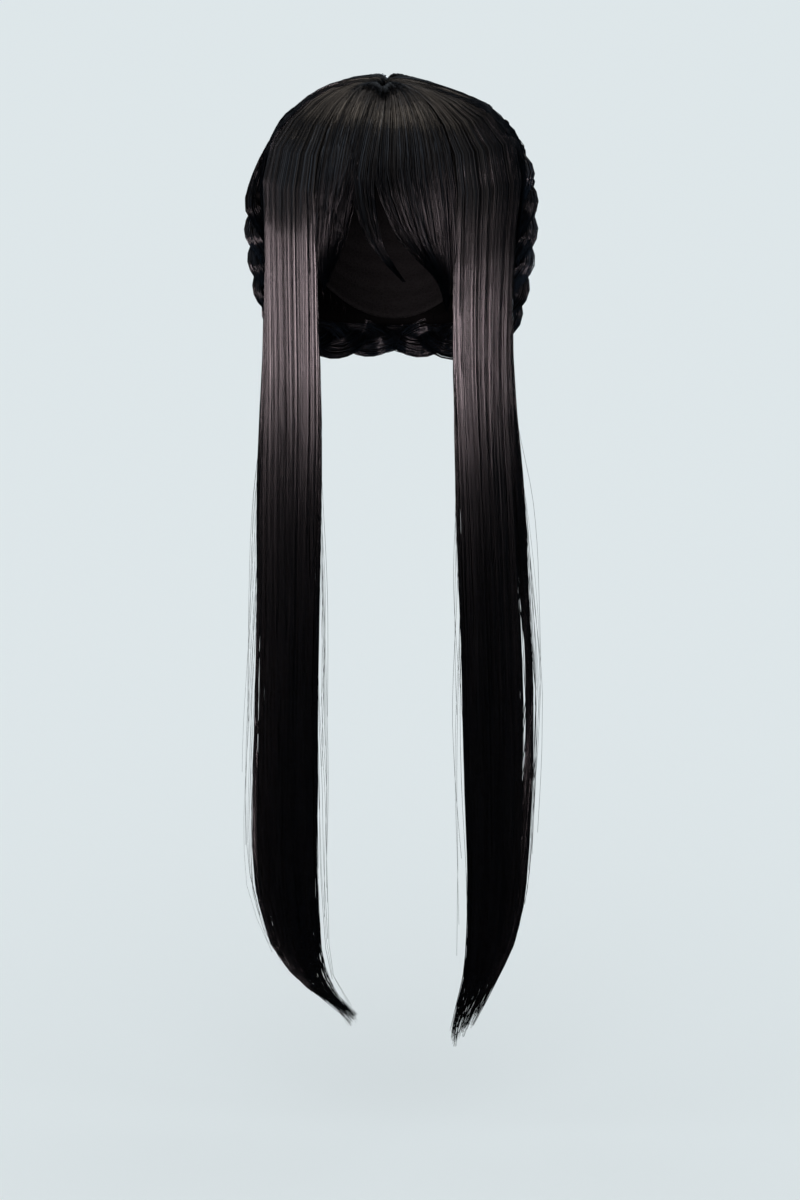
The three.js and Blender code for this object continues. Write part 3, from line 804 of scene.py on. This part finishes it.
# Fan of hair that is swept from the parting into the start of a braid
def braid_fan(side, start, plaited, rng):
    count = len(plaited)
    t = np.linspace(0, 1, FAN_STEPS, endpoint=False)[None]
    root_phi = rng.uniform(FAN_FRONT_PHI, FAN_BACK_PHI, (count, 1))
    start_phi = route_value("phi", start)
    start_level = level_at(np.array(route_value("z", start)))
    lift = rng.uniform(*FAN_LIFT, (count, 1))
    phi = mix(root_phi, start_phi, t)
    level = mix(ROOT_LEVEL, start_level, t**FAN_ROW_POWER)
    offset = mix(HAIR_CLEARANCE, hair_depth(side * phi, level) + lift, root_rise(level))
    combed = off_head(side * phi, level, offset) * (side, 1, 1)
    end_depth = hair_depth(side * start_phi, start_level) + lift
    end = off_head(np.full((count, 1), side * start_phi), start_level, end_depth) * (side, 1, 1)
    return combed + (plaited[:, :1] - end) * ease(*FAN_JOIN, t)[..., None], out_of_head(phi, level)


# Fibre meshes: each clump is a thin closed tube along its line, with its own strip of the UV map
def tube_arrays(hairs, first_vertex):
    count, steps, _ = hairs.line.shape
    along = unit(np.gradient(hairs.line, axis=1))
    flat = unit(np.cross(along, hairs.out))
    up = np.cross(flat, along)
    roll = hairs.roll[:, None, None]
    flat, up = np.cos(roll) * flat + np.sin(roll) * up, np.cos(roll) * up - np.sin(roll) * flat
    angle = 2 * np.pi * (np.arange(FIBRE_SIDES) + FIBRE_TURN) / FIBRE_SIDES
    wide = np.cos(angle)[:, None] * flat[:, :, None]
    high = FIBRE_FLATNESS * np.sin(angle)[:, None] * up[:, :, None]
    points = hairs.line[:, :, None] + hairs.half[:, :, None, None] * (wide + high)
    grid = first_vertex + np.arange(count * steps * FIBRE_SIDES).reshape(count, steps, FIBRE_SIDES)
    turned = np.roll(grid, -1, axis=2)
    walls = np.stack((grid[:, :-1], grid[:, 1:], turned[:, 1:], turned[:, :-1]), axis=-1)
    ends = np.stack((grid[:, 0], grid[:, -1, ::-1]), axis=1)
    side, row, _ = np.meshgrid(np.arange(FIBRE_SIDES), np.arange(steps - 1), 0)
    corners = np.array(((0, 0), (0, 1), (1, 1), (1, 0)))
    wall_uv = (np.concatenate((side, row), axis=-1)[:, :, None] + corners) / (FIBRE_SIDES, steps - 1)
    return points.reshape(-1, 3), walls, ends, wall_uv


def hair_object(name, bundles, material):
    total = sum(len(hairs.line) for hairs in bundles)
    points, walls, ends, uvs, tones = [], [], [], [], []
    placed = 0
    for hairs in bundles:
        count, steps, _ = hairs.line.shape
        first_vertex = sum(len(spots) for spots in points)
        tube_points, tube_walls, tube_ends, tube_uv = tube_arrays(hairs, first_vertex)
        strip = (placed + np.arange(count)[:, None, None, None]) / total
        strip_uv = np.broadcast_arrays(tube_uv[..., 0] / total + strip, tube_uv[..., 1])
        points.append(tube_points)
        walls.append(tube_walls.reshape(-1, 4))
        ends.append(tube_ends.reshape(-1, FIBRE_SIDES))
        uvs.append(np.stack(strip_uv, axis=-1).reshape(-1, 2))
        tones.append(np.repeat(np.broadcast_to(hairs.tone, (count, steps)), FIBRE_SIDES))
        placed += count
    points = np.concatenate(points) * MM
    walls = np.concatenate(walls)
    ends = np.concatenate(ends)
    corners = np.concatenate((walls.ravel(), ends.ravel()))
    starts = np.concatenate((np.arange(len(walls)) * 4, walls.size + np.arange(len(ends)) * FIBRE_SIDES))
    uv = np.concatenate(uvs + [np.zeros((ends.size, 2))])
    mesh = bpy.data.meshes.new(name)
    mesh.vertices.add(len(points))
    mesh.vertices.foreach_set("co", points.ravel())
    mesh.loops.add(len(corners))
    mesh.loops.foreach_set("vertex_index", corners)
    mesh.polygons.add(len(starts))
    mesh.polygons.foreach_set("loop_start", starts)
    mesh.update(calc_edges=True)
    mesh.uv_layers.new(name="OFBake").data.foreach_set("uv", uv.ravel())
    mesh.attributes.new("tone", "FLOAT", "POINT").data.foreach_set("value", np.concatenate(tones))
    mesh.shade_smooth()
    return add_object(name, mesh, material)


def add_object(name, mesh, material):
    obj = bpy.data.objects.new(name, mesh)
    obj.data.materials.append(material)
    bpy.context.scene.collection.objects.link(obj)
    return obj


def finish_mesh(name, bm, material):
    for vert in bm.verts:
        vert.co *= MM
    mesh = bpy.data.meshes.new(name)
    bm.to_mesh(mesh)
    bm.free()
    mesh.shade_smooth()
    return add_object(name, mesh, material)


# A grid whose columns and rows go to place(u, v), thickened inwards
def bent_sheet(name, grid, thickness, place, material):
    bm = bmesh.new()
    bmesh.ops.create_grid(bm, x_segments=grid[0], y_segments=grid[1], size=0.5)
    spots = np.array([vert.co for vert in bm.verts])
    for vert, spot in zip(bm.verts, place(spots[:, 0] + 0.5, 0.5 - spots[:, 1])):
        vert.co = spot
    bmesh.ops.recalc_face_normals(bm, faces=bm.faces[:])
    bmesh.ops.solidify(bm, geom=bm.faces[:], thickness=thickness)
    return finish_mesh(name, bm, material)


# A closed cylinder whose rings go to place(turn, run)
def bent_tube(bm, sides, rows, place):
    first = len(bm.verts)
    bmesh.ops.create_cone(bm, cap_ends=True, segments=sides, radius1=1, radius2=1, depth=1)
    bm.verts.ensure_lookup_table()
    mine = set(bm.verts[first:])
    edges = [edge for edge in bm.edges if edge.verts[0] in mine]
    uprights = [edge for edge in edges if abs(edge.verts[0].co.z - edge.verts[1].co.z) > 0.5]
    bmesh.ops.subdivide_edges(bm, edges=uprights, cuts=rows - 1)
    bm.verts.ensure_lookup_table()
    verts = bm.verts[first:]
    spots = np.array([vert.co for vert in verts])
    turn = np.arctan2(spots[:, 1], spots[:, 0]) / (2 * np.pi)
    for vert, spot in zip(verts, place(turn, 0.5 - spots[:, 2])):
        vert.co = spot


def linear(hex_colour):
    channels = [int(hex_colour[i : i + 2], 16) / 255 for i in (1, 3, 5)]
    return [c / 12.92 if c <= 0.04045 else ((c + 0.055) / 1.055) ** 2.4 for c in channels] + [1]


def add_node(tree, kind, inputs=(), links=(), **settings):
    node = tree.nodes.new(kind)
    for name, value in settings.items():
        setattr(node, name, value)
    for name, value in dict(inputs).items():
        node.inputs[name].default_value = value
    for name, socket in dict(links).items():
        tree.links.new(socket, node.inputs[name])
    return node


def new_material(name):
    material = bpy.data.materials.new(name)
    material.use_nodes = True
    tree = material.node_tree
    tree.nodes.clear()
    shader = add_node(tree, "ShaderNodeBsdfPrincipled")
    add_node(tree, "ShaderNodeOutputMaterial", links={"Surface": shader.outputs["BSDF"]})
    return material, tree, shader


# Modacrylic hair fibre, extruded and dyed black: a smooth black that glints along each fibre. Real fibres
# are too fine to show, so one clump about 0.9 mm wide is drawn for many of them.
def modacrylic_fibre(name, deep, pale):
    material, tree, shader = new_material(name)
    # The tone attribute holds each fibre's gloss and the painted shade put on it
    tone = add_node(tree, "ShaderNodeAttribute", attribute_name="tone")
    colour = add_node(tree, "ShaderNodeMix", data_type="RGBA", links={"Factor": tone.outputs["Fac"]})
    colour.inputs[MIX_FROM].default_value = linear(deep)
    colour.inputs[MIX_TO].default_value = linear(pale)
    rough = add_node(
        tree,
        "ShaderNodeMapRange",
        inputs={"To Min": 0.27, "To Max": 0.16},
        links={"Value": tone.outputs["Fac"]},
    )
    gloss = add_node(
        tree,
        "ShaderNodeMapRange",
        inputs={"To Min": 0.1, "To Max": 0.85},
        links={"Value": tone.outputs["Fac"]},
    )
    tree.links.new(colour.outputs[MIX_RESULT], shader.inputs["Base Color"])
    tree.links.new(rough.outputs["Result"], shader.inputs["Roughness"])
    tree.links.new(gloss.outputs["Result"], shader.inputs["Specular IOR Level"])
    shader.inputs["IOR"].default_value = 1.5
    return material


# The same fibre packed deep in a lock, where little light reaches: painted shade, a duller and darker
# black than the fibres, with its grain drawn coarser than the fibres so that it shows
def packed_fibre_painted_shade():
    material, tree, shader = new_material("packed_hair_fibre_painted_shade")
    place = add_node(tree, "ShaderNodeTexCoord")
    grain = add_node(
        tree,
        "ShaderNodeTexNoise",
        inputs={"Scale": 1 / (PACKED_GRAIN * MM)},
        links={"Vector": place.outputs["Object"]},
    )
    colour = add_node(tree, "ShaderNodeMix", data_type="RGBA", links={"Factor": grain.outputs["Fac"]})
    colour.inputs[MIX_FROM].default_value = linear("#020202")
    colour.inputs[MIX_TO].default_value = linear("#050404")
    tree.links.new(colour.outputs[MIX_RESULT], shader.inputs["Base Color"])
    shader.inputs["Roughness"].default_value = 0.7
    shader.inputs["Specular IOR Level"].default_value = 0.05
    return material


# Polyester stretch net, knitted and sewn with rows of hair: matt black with an open mesh, drawn coarser
# than the real one so that it shows
def stretch_net():
    material, tree, shader = new_material("stretch_net")
    place = add_node(tree, "ShaderNodeTexCoord")
    mesh_gap = add_node(
        tree,
        "ShaderNodeTexVoronoi",
        inputs={"Scale": 1 / (NET_MESH * MM)},
        links={"Vector": place.outputs["Object"]},
        feature="DISTANCE_TO_EDGE",
    )
    thread = add_node(
        tree,
        "ShaderNodeMapRange",
        inputs={"From Min": 0.05, "From Max": 0.25, "To Min": 1, "To Max": 0},
        links={"Value": mesh_gap.outputs["Distance"]},
    )
    colour = add_node(tree, "ShaderNodeMix", data_type="RGBA", links={"Factor": thread.outputs["Result"]})
    colour.inputs[MIX_FROM].default_value = linear("#040404")
    colour.inputs[MIX_TO].default_value = linear("#0f0e0e")
    bump = add_node(
        tree,
        "ShaderNodeBump",
        inputs={"Strength": 0.5, "Distance": NET_THREAD * MM},
        links={"Height": thread.outputs["Result"]},
    )
    tree.links.new(colour.outputs[MIX_RESULT], shader.inputs["Base Color"])
    tree.links.new(bump.outputs["Normal"], shader.inputs["Normal"])
    shader.inputs["Roughness"].default_value = 0.8
    shader.inputs["Specular IOR Level"].default_value = 0.25
    return material


# Matt painted floor, nearly white, that takes only a soft shadow
def pale_floor():
    material, _, shader = new_material("pale_floor")
    shader.inputs["Base Color"].default_value = linear("#eef2f3")
    shader.inputs["Roughness"].default_value = 0.9
    shader.inputs["Specular IOR Level"].default_value = 0
    return material


# Cap: net wall with sewn weft rows and a turned hem
def net_cap(material):
    def place(turn, run):
        phi = 360 * turn
        rim = rim_level(CAP_RIM, phi)
        level = mix(ROOT_LEVEL, rim, run)
        hem_start = rim - HEM_LEVEL
        crest = ease(WEFT_CREST, 1, np.cos(2 * np.pi * WEFT_ROWS * run))
        weft = WEFT_HEIGHT * crest * ease(*WEFT_START, level)
        hem = HEM_HEIGHT * ease(hem_start - HEM_TURN, hem_start, level)
        return off_head(phi, level, -np.maximum(weft, hem))

    bm = bmesh.new()
    bent_tube(bm, CAP_SIDES, WEFT_ROWS * WEFT_STEPS, place)
    discs = [face for face in bm.faces if len(face.verts) == CAP_SIDES]
    open_end = [face for face in discs if face.calc_center_median().z < CAP_OPEN_BELOW_Z]
    bmesh.ops.delete(bm, geom=open_end, context="FACES_ONLY")
    bmesh.ops.recalc_face_normals(bm, faces=bm.faces[:])
    bmesh.ops.solidify(bm, geom=bm.faces[:], thickness=CAP_WALL)
    return finish_mesh("net_cap", bm, material)


# Packed hair under the crown and the bangs, and in the middle of each sidelock and each braid strand
def crown_underlayer(material):
    def place(u, v):
        phi = mix(CROWN_FRONT_PHI, 360 - CROWN_FRONT_PHI, u)
        level = mix(ROOT_LEVEL, rim_level(CROWN_RIM, phi) - CROWN_UNDER_INSET, v**CROWN_UNDER_POWER)
        phi = under_braid_phi(phi, level)
        share = CROWN_UNDER_SHARE * ease(0, UNDERLAYER_RISE, level)
        return off_head(phi, level, mix(HAIR_CLEARANCE, crown_depth(phi, level), share))

    return bent_sheet("crown_underlayer", CROWN_UNDER_GRID, UNDERLAYER_WALL, place, material)


def bangs_underlayer(material):
    def place(u, v):
        phi = mix(-SIDELOCK_FRONT_PHI, SIDELOCK_FRONT_PHI, u)
        level = mix(ROOT_LEVEL, level_at(np.array(BANGS_UNDER_Z)), v)
        share = BANGS_UNDER_SHARE * ease(0, UNDERLAYER_RISE, level)
        return off_head(phi, level, mix(HAIR_CLEARANCE, hair_depth(phi, level), share), True)

    return bent_sheet("bangs_underlayer", BANGS_UNDER_GRID, UNDERLAYER_WALL, place, material)


def sidelock_core(name, side, sections, material):
    def place(turn, run):
        angle = 2 * np.pi * turn
        slim = mix(1, SIDELOCK_CORE_TIP, ease(SIDELOCK_CORE_TIP_START, 1, run))
        drawn_back = mix(SIDELOCK_CORE_WIDTH, LOOSE_EDGE[side] - LOOSE_CLEARANCE, ease(*LOOSE_START, run))
        reach = np.where(np.sin(angle) > 0, drawn_back, SIDELOCK_CORE_WIDTH)
        across = reach * slim * np.sin(angle)
        level, z = sidelock_levels(run, sections["z"][SIDELOCK_CORE_LAST_SECTION])
        depth = SIDELOCK_CORE_DEPTH * slim * np.cos(angle)
        depth = (depth + 1) * ease(SIDELOCK_CORE_ROOT, UNDERLAYER_RISE, level) - 1
        return sidelock_place(side, sections, across, depth, level, z)

    bm = bmesh.new()
    bent_tube(bm, SIDELOCK_CORE_SIDES, SIDELOCK_CORE_ROWS, place)
    bmesh.ops.recalc_face_normals(bm, faces=bm.faces[:])
    return finish_mesh(name, bm, material)


def braid_core(name, side, start, material):
    bm = bmesh.new()
    runs = np.linspace(start, 1, BRAID_CORE_ROWS + 1)
    for index in range(STRAND_COUNT):
        middle, wide, deep, size = strand_frame(runs, 2 * np.pi * index / STRAND_COUNT)

        def place(turn, run):
            row = np.round(run * BRAID_CORE_ROWS).astype(int)
            angle = 2 * np.pi * turn[:, None]
            share = BRAID_CORE_SHARE * size[row]
            spot = middle[row] + share * STRAND_HALF_WIDTH * np.sin(angle) * wide[row]
            spot = spot + share * STRAND_HALF_DEPTH * np.cos(angle) * deep[row]
            return spot * (side, 1, 1)

        bent_tube(bm, BRAID_CORE_SIDES, BRAID_CORE_ROWS, place)
    bmesh.ops.recalc_face_normals(bm, faces=bm.faces[:])
    return finish_mesh(name, bm, material)


# A piece moves with the wig's one body and stands for its CAD node
def belongs(piece, node):
    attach(piece, "root")
    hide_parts(node)


# The wig, piece by piece.
def build_wig():
    rng = np.random.default_rng(SEED)
    fibre = modacrylic_fibre("modacrylic_hair_fibre", "#04070c", "#0b0b0d")
    # Painted light: the braids' fibre is painted a paler, bluer black than the rest, for the light they
    # catch from the room
    plaited = modacrylic_fibre("plaited_hair_fibre_painted_light", "#04070c", "#1c232d")
    packed_shade = packed_fibre_painted_shade()
    belongs(net_cap(stretch_net()), "wig_cap")
    belongs(crown_underlayer(packed_shade), "crown_hair")
    belongs(hair_object("crown_fibres", crown_hairs(rng), fibre), "crown_hair")
    belongs(bangs_underlayer(packed_shade), "bangs")
    belongs(hair_object("bangs_fibres", bangs_hairs(rng), fibre), "bangs")
    for word, side, sections, start in (
        ("left", -1, SIDELOCK_LEFT, BRAID_LEFT_START),
        ("right", 1, SIDELOCK_RIGHT, BRAID_RIGHT_START),
    ):
        lock = f"sidelock_{word}"
        plait = f"braid_{word}"
        belongs(sidelock_core(f"{lock}_core", side, sections, packed_shade), lock)
        lock_hairs = sidelock_hairs(side, sections, rng)
        belongs(hair_object(f"{lock}_fibres", lock_hairs, fibre), lock)
        belongs(braid_core(f"{plait}_core", side, start, packed_shade), plait)
        plait_hairs = braid_hairs(side, start, sections, rng)
        belongs(hair_object(f"{plait}_fibres", plait_hairs, plaited), plait)


def add_camera():
    data = bpy.data.cameras.new("camera")
    data.lens = CAMERA_LENS
    data.sensor_width = CAMERA_SENSOR
    camera = bpy.data.objects.new("camera", data)
    camera.location = CAMERA_PLACE
    camera.rotation_euler = (math.radians(90 - CAMERA_PITCH), 0, math.radians(CAMERA_TURN))
    bpy.context.scene.collection.objects.link(camera)
    bpy.context.scene.camera = camera


def add_softbox(box):
    data = bpy.data.lights.new(box.name, "AREA")
    data.shape = "RECTANGLE"
    data.size = box.width
    data.size_y = box.height
    data.energy = box.watts
    data.color = linear(box.colour)[:3]
    lamp = bpy.data.objects.new(box.name, data)
    lamp.location = box.place
    lamp.rotation_euler = (math.radians(box.slope), 0, math.radians(box.turn))
    lamp.visible_diffuse = False
    bpy.context.scene.collection.objects.link(lamp)


# Floor and room give even soft light. Only the softboxes show in the gloss of the hair.
def add_studio():
    bm = bmesh.new()
    bmesh.ops.create_grid(bm, x_segments=1, y_segments=1, size=FLOOR_SIZE / 2)
    bmesh.ops.translate(bm, verts=bm.verts[:], vec=(0, 0, FLOOR_Z))
    mesh = bpy.data.meshes.new("floor")
    bm.to_mesh(mesh)
    bm.free()
    floor = add_object("floor", mesh, pale_floor())
    floor.visible_glossy = False
    for box in SOFTBOXES:
        add_softbox(box)
    world = bpy.data.worlds.new("studio")
    world.use_nodes = True
    sky = world.node_tree.nodes["Background"]
    sky.inputs["Color"].default_value = linear("#eef3f5")
    sky.inputs["Strength"].default_value = 1.0
    world.cycles_visibility.glossy = False
    bpy.context.scene.world = world
    bpy.context.scene.view_settings.view_transform = "Standard"


add_camera()
add_studio()
build_wig()
